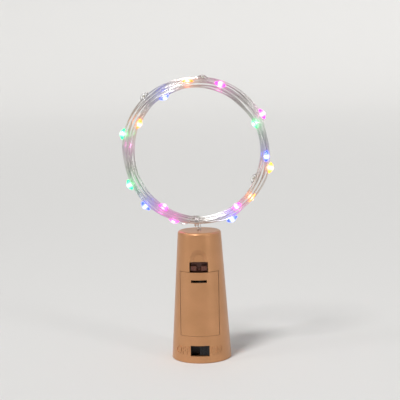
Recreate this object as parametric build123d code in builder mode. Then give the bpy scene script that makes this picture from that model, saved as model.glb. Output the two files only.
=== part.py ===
from build123d import *
import os
from math import cos, pi, radians, sin, sqrt, tan

# Bottle-stopper light: a cork-shaped casing with a battery door and a slide switch, and a string of
# small lights on thin wire wound into a ring. Millimetres, +Z up, origin at the centre of the base,
# the battery door faces -Y.

os.makedirs("parts", exist_ok=True)

# Casing
body_height = 51.0
base_beyond_cell = 12.0
nose_beyond_cell = 5.4
wall = 1.2
nose_wall = 1.6
nose_edge_radius = 1.0
nose_edge_bands = 5
base_edge_chamfer = 0.3
cap_thickness = 1.6
cap_seat_wall = 0.9
wire_hole_diameter = 1.8

# Clearances
fit_gap = 0.05
panel_gap = 0.15
hinge_gap = 0.10
running_gap = 0.10

# Battery door
door_width = 15.0
door_bottom = 10.74
door_top = 35.7
door_edge_height = 0.6
door_edge_land = 0.15
slot_width = 6.2
slot_height = 1.06
slot_drop = 3.5
hook_spacing = 9.0
hook_width = 2.4
hook_block_height = 1.7
hook_thickness = 1.0
hook_drop = 1.54

# Thumb recess and latch window
recess_width = 7.2
recess_depth = 1.5
recess_floor_width = 4.36
recess_slope = 1.78
keeper_edge = 39.67
recess_straight = 0.71
keeper_thickness = 1.2
pad_side_wall = 1.2
pad_height = 6.3

# Latch
latch_width = 6.3
latch_leaf = 0.85
latch_lower_leg = 34.2
latch_bend_radius = 1.45
catch_thickness = 0.9
catch_overlap = 0.7
lip_reach = 0.7
lip_height = 1.85
lip_thickness = 0.8
lip_notch_width = 1.9
lip_notch_depth = 1.3

# Switch
switch_height = 4.87
window_width = 7.4
window_height = 4.16
knob_width = 3.6
knob_height = 3.7
knob_recess = 0.935
knob_rib_count = 3
knob_rib_height = 0.35
knob_travel = 3.4
skirt_half_width = 5.5
skirt_thickness = 0.5
skirt_gap = 0.14
can_width = 8.6
can_height = 3.9
can_depth = 3.4
can_sheet = 0.25
stem_width = 1.6
stem_height = 1.4
base_block_depth = 0.7
terminal_pitch = 2.5
terminal_size = 0.5
terminal_tail = 0.8
wiper_length = 3.6
wiper_sheet = 0.2

# Circuit board and what it carries
board_thickness = 1.0
board_height = 7.8
board_groove = 0.8
resistor_length = 3.2
resistor_diameter = 1.6
resistor_wire = 0.5

# Battery stack and tray
cell_diameter = 11.6
cell_height = 5.4
cell_count = 3
cell_axis_front = 0.9
cell_lip = 0.35
cell_cap_diameter = 9.0
tray_clearance = 0.2
tray_wall = 1.2
tray_floor_height = 10.9
tray_floor_front = 6.0
tray_wall_front = 3.5
tray_roof_front = 4.5
contact_sheet = 0.3
contact_radius = 4.6
contact_tab_width = 1.8
contact_tab_offset = 3.0
spring_wire = 0.4
spring_height = 2.4
spring_turns = 3
spring_wide_radius = 4.0
spring_narrow_radius = 2.2
leg_thickness = 1.5
leg_depth = 3.4

# Inner wiring
lead_diameter = 1.0
lead_board_height = 3.0
lead_bend_radius = 2.0
tail_diameter = 0.3
tail_half_spacing = 0.45
tail_board_height = 8.6
tail_bend_radius = 2.0
tail_slack = 2.8
glue_radius = 3.4
glue_depth = 2.6
glue_rounding = 1.6
glue_sides = 12

# String of lights
wire_size = 0.4
ring_rise = 31.9
ring_radius = 26.75
tie_radius = 27.8
loops_per_layer = 3
layer_count = 4
loose_radial_pitch = 1.5
tie_radial_pitch = 0.84
layer_pitch = 0.9
coil_start_turn = 0.05
coil_end_turn = 11.8
wrap_radius = 2.1
wrap_pitch = 0.9
wrap_turns = 2.25
crossing_side = 3.3
crossing_rise = 0.3
crossing_direction = (-0.66, 0, -0.75)
lead_straight = 0.9
lead_slope_top = 2.5
light_spacing = 100.0
first_light_turn = 0.375
bead_length = 4.6
bead_end_length = 1.4
bead_end_inset = 0.6
bead_radius = 1.1
bead_offset = 0.5
bead_sides = 8
chip_size = (1.0, 0.7, 0.4)
chip_offset = 0.5

# Angle of each light round the ring, in order along the string, anticlockwise from +X seen from the
# front, with its colour.
lights = [
    (133, "orange"), (296, "blue"), (69, "magenta"), (206, "green"), (355, "blue"),
    (154, "orange"), (304, "magenta"), (84, "green"), (226, "blue"), (346, "yellow"),
    (166, "green"), (318, "yellow"), (96, "orange"), (238, "magenta"), (24, "green"),
    (175, "magenta"), (333, "blue"), (120, "blue"), (250, "magenta"), (28, "magenta"),
]

base_radius = (cell_diameter + base_beyond_cell) / 2
nose_radius = (cell_diameter + nose_beyond_cell) / 2
taper = (base_radius - nose_radius) / body_height
nose_underside = body_height - nose_wall


def outer_radius(z):
    """Outer radius of the casing at a height."""
    return base_radius - taper * z


def inner_radius(z):
    """Inner radius of the casing at a height."""
    return outer_radius(z) - wall


def front_of(radius, x):
    """Distance in front of the axis of a circle's front at a sideways place."""
    return sqrt(radius**2 - x**2)


def finish(block, name):
    """Label a sub-part and write its STEP file."""
    block.part.label = name
    export_step(block.part, f"parts/{name}.step")


# Casing: one revolved wall, a thicker pad behind the thumb recess, and the openings of its front
opening_width = door_width + 2 * panel_gap
opening_bottom = door_bottom - hinge_gap
opening_top = door_top + panel_gap
opening_back = 2.5
recess_arch_height = keeper_edge + recess_straight
recess_floor = outer_radius(recess_arch_height) - recess_depth
pad_back = recess_floor - keeper_thickness
pad_skin_radius = outer_radius(recess_arch_height) - wall / 2
recess_outside = outer_radius(0)
recess_half_outside = recess_floor_width / 2 + recess_slope * (recess_outside - recess_floor)


def arch(half_width, plane):
    """Sketch of the thumb recess at one depth: a half round over straight sides."""
    with BuildSketch(plane) as outline:
        with BuildLine():
            left = (-half_width, recess_arch_height)
            right = (half_width, recess_arch_height)
            foot = keeper_edge
            ThreePointArc(left, (0, recess_arch_height + half_width), right)
            Polyline(right, (half_width, foot), (-half_width, foot), left)
        make_face()
    return outline.sketch


nose_edge_height = body_height - nose_edge_radius
nose_edge_middle = outer_radius(nose_edge_height) - nose_edge_radius
nose_edge = []
for band in range(nose_edge_bands + 1):
    round_angle = radians(90 * band / nose_edge_bands)
    edge_reach = nose_edge_middle + nose_edge_radius * cos(round_angle)
    nose_edge.append((edge_reach, nose_edge_height + nose_edge_radius * sin(round_angle)))

with BuildPart() as cork_shell:
    with BuildSketch(Plane.XZ):
        with BuildLine():
            Polyline(
                (base_radius - cap_seat_wall, 0),
                (base_radius - base_edge_chamfer, 0),
                (outer_radius(base_edge_chamfer), base_edge_chamfer),
                *nose_edge,
                (wire_hole_diameter / 2, body_height),
                (wire_hole_diameter / 2, nose_underside),
                (inner_radius(nose_underside), nose_underside),
                (inner_radius(cap_thickness), cap_thickness),
                (base_radius - cap_seat_wall, cap_thickness),
                close=True,
            )
        make_face()
    revolve(axis=Axis.Z)
    with BuildSketch(Plane.XY.offset(keeper_edge)):
        Circle(pad_skin_radius)
        with Locations((0, -pad_back - pad_skin_radius / 2)):
            Rectangle(recess_width + 2 * pad_side_wall, pad_skin_radius, mode=Mode.INTERSECT)
    extrude(amount=pad_height)
    loft(
        [
            arch(recess_half_outside, Plane.XZ.offset(recess_outside)),
            arch(recess_floor_width / 2, Plane.XZ.offset(recess_floor)),
        ],
        ruled=True,
        mode=Mode.SUBTRACT,
    )
    with BuildSketch(Plane.XZ.offset(opening_back)):
        with Locations((0, (opening_bottom + opening_top) / 2)):
            Rectangle(opening_width, opening_top - opening_bottom)
        with Locations((0, (opening_top + keeper_edge) / 2)):
            Rectangle(recess_width, keeper_edge - opening_top)
        with Locations((0, switch_height)):
            Rectangle(window_width, window_height)
    extrude(amount=base_radius, mode=Mode.SUBTRACT)
finish(cork_shell, "cork_shell")

# Base cap: a disc let into the wide end, flush underneath
with BuildPart() as base_cap:
    with BuildSketch(Plane.XY):
        Circle(base_radius - cap_seat_wall - fit_gap)
    extrude(amount=cap_thickness)
finish(base_cap, "base_cap")

# Battery door: the same cone as the casing, its inner top edge cut back so that it swings clear,
# with two hooks that hold its lower edge behind the casing
hook_near = (hook_spacing - hook_width) / 2
hook_far = (hook_spacing + hook_width) / 2
hook_root = front_of(inner_radius(door_bottom), hook_near) + fit_gap
hook_front = front_of(inner_radius(opening_bottom), hook_far) - running_gap
hook_back = hook_front - hook_thickness
latch_leg_top = latch_lower_leg + 2 * latch_bend_radius
latch_upper_leg = latch_leg_top - latch_leaf
latch_bend_front = pad_back - catch_thickness / 2

with BuildPart() as battery_door:
    with BuildSketch(Plane.XZ):
        with BuildLine():
            Polyline(
                (inner_radius(door_bottom), door_bottom),
                (outer_radius(door_bottom), door_bottom),
                (outer_radius(door_top), door_top),
                (outer_radius(door_top) - door_edge_land, door_top),
                (inner_radius(door_top - door_edge_height), door_top - door_edge_height),
                close=True,
            )
        make_face()
    revolve(axis=Axis.Z)
    with BuildSketch(Plane.XY.offset(door_bottom)):
        with Locations((0, -opening_back - base_radius / 2)):
            Rectangle(door_width, base_radius)
    extrude(amount=door_top - door_bottom, mode=Mode.INTERSECT)
    with BuildSketch(Plane.XZ.offset(opening_back)):
        with Locations((0, door_top - slot_drop)):
            Rectangle(slot_width, slot_height)
    extrude(amount=base_radius, mode=Mode.SUBTRACT)
    for side in (-1, 1):
        with BuildSketch(Plane.YZ.offset(side * hook_spacing / 2)):
            with BuildLine():
                Polyline(
                    (-hook_root, door_bottom),
                    (-hook_front, door_bottom),
                    (-hook_front, door_bottom - hook_drop),
                    (-hook_back, door_bottom - hook_drop),
                    (-hook_back, door_bottom + hook_block_height),
                    (-hook_root, door_bottom + hook_block_height),
                    close=True,
                )
            make_face()
        extrude(amount=hook_width / 2, both=True)
finish(battery_door, "battery_door")

# Latch bend: the sprung half round that joins the door to its latch
bend_centre_height = latch_lower_leg + latch_bend_radius
with BuildPart() as latch_bend:
    with BuildSketch(Plane.YZ):
        with BuildLine():
            outer_low = (-latch_bend_front, latch_lower_leg)
            outer_high = (-latch_bend_front, latch_leg_top)
            inner_high = (-latch_bend_front, latch_upper_leg)
            inner_low = (-latch_bend_front, latch_lower_leg + latch_leaf)
            root_front = -inner_radius(latch_lower_leg)
            ThreePointArc(outer_low, (latch_bend_radius - latch_bend_front, bend_centre_height), outer_high)
            Line(outer_high, inner_high)
            inner_bend = latch_bend_radius - latch_leaf
            ThreePointArc(inner_high, (inner_bend - latch_bend_front, bend_centre_height), inner_low)
            Polyline(
                inner_low,
                (root_front, latch_lower_leg + latch_leaf),
                (root_front, latch_lower_leg),
                outer_low,
            )
        make_face()
    extrude(amount=latch_width / 2, both=True)
    with BuildSketch(Plane.XZ):
        with BuildLine():
            Polyline(
                (0, latch_lower_leg),
                (inner_radius(latch_lower_leg), latch_lower_leg),
                (inner_radius(latch_leg_top), latch_leg_top),
                (0, latch_leg_top),
                close=True,
            )
        make_face()
    revolve(axis=Axis.Z, mode=Mode.INTERSECT)
finish(latch_bend, "latch_bend")

# Latch tongue: the leaf that the thumb presses, with the catch that stands behind the keeper edge
catch_front = pad_back - running_gap
lip_front = recess_floor + lip_reach
lip_top = latch_upper_leg + lip_height
with BuildPart() as latch_tongue:
    with BuildSketch(Plane.YZ):
        with BuildLine():
            Polyline(
                (-latch_bend_front, latch_upper_leg),
                (-lip_front, latch_upper_leg),
                (-lip_front, lip_top),
                (lip_thickness - lip_front, lip_top),
                (lip_thickness - lip_front, latch_leg_top),
                (-catch_front, latch_leg_top),
                (-catch_front, keeper_edge + catch_overlap),
                (-catch_front + catch_thickness, keeper_edge + catch_overlap),
                (-catch_front + catch_thickness, latch_leg_top),
                (-latch_bend_front, latch_leg_top),
                close=True,
            )
        make_face()
    extrude(amount=latch_width / 2, both=True)
    with BuildSketch(Plane.XY.offset(latch_upper_leg)):
        with Locations((0, -lip_front)):
            SlotOverall(2 * lip_notch_depth, lip_notch_width, rotation=90)
    extrude(amount=lip_height, mode=Mode.SUBTRACT)
finish(latch_tongue, "latch_tongue")

# Battery tray: floor, trough and roof round the cells, on two legs that also hold the board
cell_stack = cell_count * cell_height
tray_floor_top = tray_floor_height + tray_wall
stack_bottom = tray_floor_top + contact_sheet + spring_height
stack_top = stack_bottom + cell_stack
tray_roof = stack_top + contact_sheet
trough_inner = cell_diameter / 2 + tray_clearance
trough_outer = trough_inner + tray_wall
trough_back = trough_outer - cell_axis_front
lead_back = trough_back + lead_diameter / 2 + running_gap
skirt_top = switch_height + window_height / 2 + panel_gap
slider_rest = knob_travel / 2
skirt_front = front_of(inner_radius(skirt_top), skirt_half_width + slider_rest) - skirt_gap
skirt_back = skirt_front - skirt_thickness
can_front = skirt_back - running_gap
board_front = can_front - can_depth
board_back = board_front - board_thickness
board_middle = -(board_front + board_back) / 2
leg_corner = abs(board_middle) + leg_depth / 2
leg_outer = front_of(inner_radius(tray_floor_height) - fit_gap, leg_corner)
leg_centre = leg_outer - leg_thickness / 2
board_width = 2 * (leg_outer - leg_thickness + board_groove)
lead_notch_half_width = contact_tab_offset + lead_diameter / 2 + tray_clearance


def trough_section(radius, front):
    """Sketch of a half round with straight sides towards the door."""
    with BuildSketch(Plane.XY, mode=Mode.PRIVATE) as section:
        with BuildLine():
            ThreePointArc(
                (-radius, -cell_axis_front),
                (0, radius - cell_axis_front),
                (radius, -cell_axis_front),
            )
            Polyline(
                (radius, -cell_axis_front),
                (radius, -front),
                (-radius, -front),
                (-radius, -cell_axis_front),
            )
        make_face()
    return section.sketch


with BuildPart() as battery_tray:
    with BuildSketch(Plane.XY.offset(tray_floor_height)):
        Circle(inner_radius(tray_floor_top) - tray_clearance)
        with Locations((0, -tray_floor_front - base_radius / 2)):
            Rectangle(2 * base_radius, base_radius, mode=Mode.SUBTRACT)
        with Locations((0, trough_back + base_radius / 2)):
            Rectangle(2 * lead_notch_half_width, base_radius, mode=Mode.SUBTRACT)
    extrude(amount=tray_wall)
    with BuildSketch(Plane.XY.offset(tray_floor_top)):
        add(trough_section(trough_outer, tray_wall_front))
        add(trough_section(trough_inner, tray_wall_front), mode=Mode.SUBTRACT)
    extrude(amount=tray_roof - tray_floor_top)
    with BuildSketch(Plane.XY.offset(tray_roof)):
        add(trough_section(trough_outer, tray_roof_front))
    extrude(amount=tray_wall)
    for tab_side, tab_bottom in ((-1, stack_top), (1, tray_floor_top)):
        with BuildSketch(Plane.XY.offset(tab_bottom)):
            with Locations((tab_side * contact_tab_offset, trough_back / 2)):
                Rectangle(contact_tab_width + 2 * fit_gap, trough_back)
        extrude(amount=contact_sheet + fit_gap * (1 + tab_side) / 2, mode=Mode.SUBTRACT)
    with BuildSketch(Plane.XY.offset(cap_thickness)):
        with Locations((-leg_centre, board_middle), (leg_centre, board_middle)):
            Rectangle(leg_thickness, leg_depth)
        with Locations((0, board_middle)):
            Rectangle(board_width + 2 * fit_gap, board_thickness + 2 * fit_gap, mode=Mode.SUBTRACT)
    extrude(amount=tray_floor_height - cap_thickness)
finish(battery_tray, "battery_tray")

# Button cells: a can with a smaller cap underneath
cell_names = ("button_cell_lower", "button_cell_middle", "button_cell_upper")
for level, cell_name in enumerate(cell_names):
    cell_bottom = stack_bottom + level * cell_height
    with BuildPart() as button_cell:
        with BuildSketch(Plane.XY.offset(cell_bottom + cell_lip)):
            with Locations((0, -cell_axis_front)):
                Circle(cell_diameter / 2)
        extrude(amount=cell_height - cell_lip)
        with BuildSketch(Plane.XY.offset(cell_bottom)):
            with Locations((0, -cell_axis_front)):
                Circle(cell_cap_diameter / 2)
        extrude(amount=cell_lip)
    finish(button_cell, cell_name)

# Contacts: a round pad with a solder tab that passes out through the trough
tab_back = lead_back + lead_diameter / 2 + fit_gap
for contact_name, contact_bottom, tab_side in (
    ("positive_contact", stack_top, -1),
    ("negative_contact", tray_floor_top, 1),
):
    with BuildPart() as contact:
        with BuildSketch(Plane.XY.offset(contact_bottom)):
            with Locations((0, -cell_axis_front)):
                Circle(contact_radius)
            with Locations((tab_side * contact_tab_offset, tab_back / 2)):
                Rectangle(contact_tab_width, tab_back)
        extrude(amount=contact_sheet)
    finish(contact, contact_name)


def biarc_join(start, start_tangent, end, end_tangent):
    """Point where two equal-reach arcs meet between two directed points."""
    chord = end - start
    along = chord.dot(start_tangent + end_tangent)
    spread = 2 * (1 - start_tangent.dot(end_tangent))
    if spread < 1e-9:
        reach = chord.dot(chord) / (2 * along)
    else:
        reach = (sqrt(along**2 + spread * chord.dot(chord)) - along) / spread
    return (start + start_tangent * reach + end - end_tangent * reach) / 2


def biarc_wire(stations, straight_end):
    """Edges through directed points, two arcs a span, with a short straight run at each end."""
    with BuildLine() as route:
        first_point, first_tangent = stations[0]
        Line(first_point, first_point + first_tangent * straight_end)
        moved = [(first_point + first_tangent * straight_end, first_tangent)] + stations[1:]
        last_point, last_tangent = moved[-1]
        moved[-1] = (last_point - last_tangent * straight_end, last_tangent)
        for (point, tangent), (next_point, next_tangent) in zip(moved, moved[1:]):
            join = biarc_join(point, tangent, next_point, next_tangent)
            first_arc = TangentArc(point, join, tangent=tangent)
            TangentArc(join, next_point, tangent=first_arc % 1)
        Line(last_point - last_tangent * straight_end, last_point)
    return route.line


# Contact spring: a conical coil from the lower contact up to the lowest cell
spring_bottom = tray_floor_top + contact_sheet + spring_wire / 2
spring_rise = spring_height - spring_wire


def spring_station(turn):
    """Place and direction of the spring's wire after a number of turns."""
    share = turn / spring_turns
    radius = spring_wide_radius + (spring_narrow_radius - spring_wide_radius) * share
    angle = 2 * pi * turn
    height = spring_bottom + spring_rise * share
    climb = spring_rise / spring_turns
    sweep_rate = 2 * pi * radius
    place = Vector(radius * cos(angle), radius * sin(angle) - cell_axis_front, height)
    return place, Vector(-sweep_rate * sin(angle), sweep_rate * cos(angle), climb).normalized()


spring_route = biarc_wire([spring_station(step / 4) for step in range(4 * spring_turns + 1)], spring_wire)
with BuildPart() as contact_spring:
    with BuildSketch(Plane(origin=spring_route @ 0, z_dir=spring_route % 0)):
        Rectangle(spring_wire, spring_wire)
    sweep(path=spring_route)
finish(contact_spring, "contact_spring")

# Circuit board, with holes for the switch's terminals and slots for its cover's tabs
board_centre = cap_thickness + board_height / 2
terminal_places = [(step * terminal_pitch, switch_height) for step in (-1, 0, 1)]
tab_places = [(side * (can_width - can_sheet) / 2, switch_height) for side in (-1, 1)]
tab_height = can_height / 2
with BuildPart() as circuit_board:
    with BuildSketch(Plane.XZ.offset(board_back)):
        with Locations((0, board_centre)):
            Rectangle(board_width, board_height)
        with Locations(*terminal_places):
            Rectangle(terminal_size, terminal_size, mode=Mode.SUBTRACT)
        with Locations(*tab_places):
            Rectangle(can_sheet, tab_height, mode=Mode.SUBTRACT)
    extrude(amount=board_thickness)
finish(circuit_board, "circuit_board")

# Switch: folded cover, insulating base, terminals, slider and wiper
with BuildPart() as switch_can:
    with BuildSketch(Plane.XZ.offset(board_front)):
        with Locations((0, switch_height)):
            Rectangle(can_width, can_height)
            Rectangle(can_width - 2 * can_sheet, can_height - 2 * can_sheet, mode=Mode.SUBTRACT)
    extrude(amount=can_depth - can_sheet)
    with BuildSketch(Plane.XZ.offset(can_front - can_sheet)):
        with Locations((0, switch_height)):
            Rectangle(can_width, can_height)
            Rectangle(
                knob_travel + stem_width + 2 * panel_gap,
                stem_height + 2 * panel_gap,
                mode=Mode.SUBTRACT,
            )
    extrude(amount=can_sheet)
    with BuildSketch(Plane.XZ.offset(board_back - can_sheet)):
        with Locations(*tab_places):
            Rectangle(can_sheet, tab_height)
    extrude(amount=board_thickness + can_sheet)
finish(switch_can, "switch_can")

with BuildPart() as switch_base:
    with BuildSketch(Plane.XZ.offset(board_front)):
        with Locations((0, switch_height)):
            Rectangle(
                can_width - 2 * can_sheet - 2 * fit_gap,
                can_height - 2 * can_sheet - 2 * fit_gap,
            )
        with Locations(*terminal_places):
            Rectangle(terminal_size, terminal_size, mode=Mode.SUBTRACT)
    extrude(amount=base_block_depth)
finish(switch_base, "switch_base")

with BuildPart() as switch_terminals:
    with BuildSketch(Plane.XZ.offset(board_back - terminal_tail)):
        with Locations(*terminal_places):
            Rectangle(terminal_size, terminal_size)
    extrude(amount=terminal_tail + board_thickness + base_block_depth)
finish(switch_terminals, "switch_terminals")

knob_front = outer_radius(switch_height) - knob_recess
wiper_back = board_front + base_block_depth + running_gap
wiper_front = wiper_back + 2 * wiper_sheet
with BuildPart() as switch_knob:
    with BuildSketch(Plane.XZ.offset(wiper_front)):
        with Locations((slider_rest, switch_height)):
            Rectangle(stem_width, stem_height)
    extrude(amount=skirt_back - wiper_front)
    with BuildSketch(Plane.XZ.offset(skirt_back)):
        with Locations((slider_rest, switch_height)):
            Rectangle(2 * skirt_half_width, 2 * (skirt_top - switch_height))
    extrude(amount=skirt_thickness)
    with BuildSketch(Plane.XZ.offset(skirt_front)):
        with Locations((slider_rest, switch_height)):
            Rectangle(knob_width, knob_height)
    extrude(amount=knob_front - knob_rib_height - skirt_front)
    rib_pitch = knob_width / (2 * knob_rib_count - 1)
    with BuildSketch(Plane.XZ.offset(knob_front - knob_rib_height)):
        with Locations((slider_rest, switch_height)):
            with GridLocations(2 * rib_pitch, 1, knob_rib_count, 1):
                Rectangle(rib_pitch, knob_height)
    extrude(amount=knob_rib_height)
finish(switch_knob, "switch_knob")

with BuildPart() as switch_wiper:
    with BuildSketch(Plane.XY.offset(switch_height - stem_height / 2)):
        with Locations((slider_rest, -wiper_front + wiper_sheet / 2)):
            Rectangle(wiper_length, wiper_sheet)
        foot_offset = (wiper_length - wiper_sheet) / 2
        for foot in (slider_rest - foot_offset, slider_rest + foot_offset):
            with Locations((foot, -wiper_back - wiper_sheet)):
                Rectangle(wiper_sheet, 2 * wiper_sheet)
    extrude(amount=stem_height)
finish(switch_wiper, "switch_wiper")

# Current-limiting resistor on the back of the board, on its own bent wires
resistor_height = board_centre
resistor_back = board_back - resistor_diameter / 2 - running_gap
resistor_reach = resistor_length / 2 + 2 * resistor_wire
with BuildPart() as current_resistor:
    with BuildSketch(Plane.YZ.offset(-resistor_length / 2)):
        with Locations((-resistor_back, resistor_height + resistor_diameter)):
            Circle(resistor_diameter / 2)
    extrude(amount=resistor_length)
    with BuildSketch(Plane.YZ.offset(-resistor_reach)):
        with Locations((-resistor_back, resistor_height + resistor_diameter)):
            Rectangle(resistor_wire, resistor_wire)
    extrude(amount=2 * resistor_reach)
    with BuildSketch(Plane.XZ.offset(resistor_back)):
        with Locations(
            (-resistor_reach + resistor_wire / 2, resistor_height + resistor_diameter),
            (resistor_reach - resistor_wire / 2, resistor_height + resistor_diameter),
        ):
            Rectangle(resistor_wire, resistor_wire)
    extrude(amount=board_back - resistor_back)
finish(current_resistor, "current_resistor")

# Insulated leads from the two contacts down behind the tray to the board
for lead_name, lead_top, tab_side in (
    ("lead_red", stack_top, -1),
    ("lead_black", tray_floor_top, 1),
):
    with BuildPart() as inner_lead:
        with BuildLine() as lead_route:
            FilletPolyline(
                (tab_side * contact_tab_offset, lead_back, lead_top),
                (tab_side * contact_tab_offset, lead_back, lead_board_height),
                (tab_side * contact_tab_offset, -board_back, lead_board_height),
                radius=lead_bend_radius,
            )
        with BuildSketch(Plane(origin=lead_route.line @ 0, z_dir=lead_route.line % 0)):
            RegularPolygon(lead_diameter / 2, 8)
        sweep(path=lead_route.line)
    finish(inner_lead, lead_name)

# The string's own two wires, from the board up the back to the underside of the top
tail_top_height = nose_underside - glue_depth - tail_slack
tail_back = inner_radius(tail_top_height) - tail_diameter / 2 - running_gap
with BuildPart() as string_tail_wires:
    for side in (-1, 1):
        tail_x = side * tail_half_spacing
        with BuildLine() as tail_route:
            FilletPolyline(
                (tail_x, -board_back, tail_board_height),
                (tail_x, tail_back, tail_board_height),
                (tail_x, tail_back, tail_top_height),
                (tail_x, 0, tail_top_height),
                (tail_x, 0, nose_underside),
                radius=tail_bend_radius,
            )
        with BuildSketch(Plane(origin=tail_route.line @ 0, z_dir=tail_route.line % 0)):
            Rectangle(tail_diameter, tail_diameter)
        sweep(path=tail_route.line)
finish(string_tail_wires, "string_tail_wires")

# Glue plug: a drop of hot-melt glue under the top that anchors the string
with BuildPart() as glue_plug:
    with BuildSketch(Plane.XY.offset(nose_underside)):
        RegularPolygon(glue_radius, glue_sides)
    extrude(amount=-glue_depth)
    glue_end = glue_plug.faces().sort_by(Axis.Z)[0]
    chamfer(glue_end.edges(), length=glue_rounding, length2=glue_rounding, reference=glue_end)
finish(glue_plug, "glue_plug")

# Ring of wound wire: the loops spiral in and out between four layers, drawn together at the tie
# below, and run clockwise seen from the front.
ring_height = body_height + ring_rise
layer_turns = loops_per_layer
half_climb = 0.25


def spiral_share(turn):
    """Loops out from the middle of the bundle, between plus and minus half the loops of a layer."""
    phase = turn % (2 * layer_turns)
    return layer_turns / 2 - phase if phase <= layer_turns else phase - 1.5 * layer_turns


def layer_share(turn):
    """Layers behind the middle of the bundle, with a climb in the half turn round each reversal."""
    layer = min(int((turn + half_climb) / layer_turns), layer_count - 1)
    into_climb = turn + half_climb - layer * layer_turns
    eased = 1.0
    if layer > 0 and into_climb < 2 * half_climb:
        eased = (1 - cos(pi * into_climb / (2 * half_climb))) / 2
    return layer - 1 + eased - (layer_count - 1) / 2


def looseness(turn):
    """0 at the tie at the bottom of the ring, 1 from a quarter turn on."""
    return min(1.0, 1 - cos(2 * pi * turn))


def wire_place(turn):
    """Centre of the wire after a number of turns."""
    loose = looseness(turn)
    radius = tie_radius + (ring_radius - tie_radius) * loose
    radius += spiral_share(turn) * (tie_radial_pitch + (loose_radial_pitch - tie_radial_pitch) * loose)
    back = layer_share(turn) * layer_pitch
    angle = -pi / 2 - 2 * pi * turn
    return Vector(radius * cos(angle), back, ring_height + radius * sin(angle))


def wire_station(turn):
    """Place of the wire after a number of turns, with its direction square to the radius."""
    angle = -pi / 2 - 2 * pi * turn
    return wire_place(turn), Vector(sin(angle), 0, -cos(angle))


coil_turns = [coil_start_turn]
coil_turns += [step / 4 for step in range(1, int(4 * coil_end_turn) + 1)]
coil_turns += [coil_end_turn]
coil_stations = [wire_station(turn) for turn in coil_turns]
coil_route = biarc_wire(coil_stations, wire_size)


def swept_wire(route):
    """Square wire along a route."""
    with BuildPart() as swept:
        with BuildSketch(Plane(origin=route @ 0, z_dir=route % 0, x_dir=(0, 1, 0))):
            Rectangle(wire_size, wire_size)
        sweep(path=route)
    return swept


fairy_wire_coil = swept_wire(coil_route)
finish(fairy_wire_coil, "fairy_wire_coil")

# Wraps: the wire turns round the tied bundle, then crosses its front down to the ring's first loop
tie_height = ring_height - tie_radius


def wrap_station(turn):
    """Place and direction of the wrapped wire, from the back of the bundle up and over."""
    angle = 2 * pi * turn
    place = Vector(-wrap_pitch * turn, wrap_radius * cos(angle), tie_height + wrap_radius * sin(angle))
    circle = 2 * pi * wrap_radius
    return place, Vector(-wrap_pitch, -circle * sin(angle), circle * cos(angle)).normalized()


lead_top = Vector(0, wrap_radius, tie_height)
wrap_stations = [(lead_top, Vector(0, 0, 1))]
wrap_stations += [wrap_station(step / 4) for step in range(1, int(4 * wrap_turns) + 1)]
crossing = Vector(-crossing_side, -wrap_radius, tie_height + crossing_rise)
wrap_stations += [(crossing, Vector(*crossing_direction)), coil_stations[0]]
wrap_route = biarc_wire(wrap_stations, wire_size)
wire_wraps = swept_wire(wrap_route)
finish(wire_wraps, "wire_wraps")

# Lead: from inside the top hole up behind the bundle to the first wrap
lead_corners = [
    Vector(0, 0, nose_underside),
    Vector(0, 0, body_height + lead_straight),
    Vector(0, wrap_radius, body_height + lead_slope_top),
    lead_top,
]
lead_radii = []
for before, corner, after in zip(lead_corners, lead_corners[1:], lead_corners[2:]):
    shorter = min((corner - before).length, (after - corner).length)
    turn_angle = (corner - before).get_angle(after - corner)
    lead_radii.append(0.45 * shorter / tan(radians(turn_angle / 2)))
with BuildLine() as lead_path:
    FilletPolyline(*lead_corners, radius=lead_radii)
fairy_wire_lead = swept_wire(lead_path.line)
finish(fairy_wire_lead, "fairy_wire_lead")

# Lights: a drop of resin on the wire with a chip inside, by colour
colours = ("blue", "green", "magenta", "orange", "yellow")
nominal_step = light_spacing / (2 * pi * ring_radius)


def light_plane(index):
    """Plane at a light: on the wire, z along it, x away from the middle of the bundle."""
    angle, _ = lights[index]
    part_turn = ((270 - angle) / 360) % 1
    nominal = first_light_turn + index * nominal_step
    turn = round(nominal - part_turn) + part_turn
    place, along = wire_station(turn)
    ring_angle = -pi / 2 - 2 * pi * turn
    radial = Vector(cos(ring_angle), 0, sin(ring_angle))
    outwards = radial * (spiral_share(turn) * loose_radial_pitch)
    outwards += Vector(0, layer_share(turn) * layer_pitch, 0)
    return Plane(origin=place, z_dir=along, x_dir=outwards.normalized())


def resin_drop(plane):
    """One drop: an octagonal barrel on the wire that narrows at both ends."""
    with BuildPart() as drop:
        with BuildSketch(plane):
            with Locations((bead_offset, 0)):
                RegularPolygon(bead_radius, bead_sides)
        extrude(amount=bead_length / 2, both=True)
        for end in (0, -1):
            end_face = drop.faces().sort_by(Axis(plane.origin, plane.z_dir))[end]
            chamfer(end_face.edges(), length=bead_end_inset, length2=bead_end_length, reference=end_face)
    return drop.part


for colour in colours:
    chosen = [index for index, light in enumerate(lights) if light[1] == colour]
    with BuildPart() as beads:
        for index in chosen:
            add(resin_drop(light_plane(index)))
    finish(beads, f"light_beads_{colour}")
    with BuildPart() as chips:
        for index in chosen:
            with BuildSketch(light_plane(index).offset(-chip_size[0] / 2)):
                with Locations((chip_offset, 0)):
                    Rectangle(chip_size[2], chip_size[1])
            extrude(amount=chip_size[0])
    finish(chips, f"light_chips_{colour}")


def distance_to_run(point, start, end):
    """Distance from a point to the straight run between two others."""
    run = end - start
    share = min(1.0, max(0.0, (point - start).dot(run) / run.dot(run)))
    return (point - start - run * share).length


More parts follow.
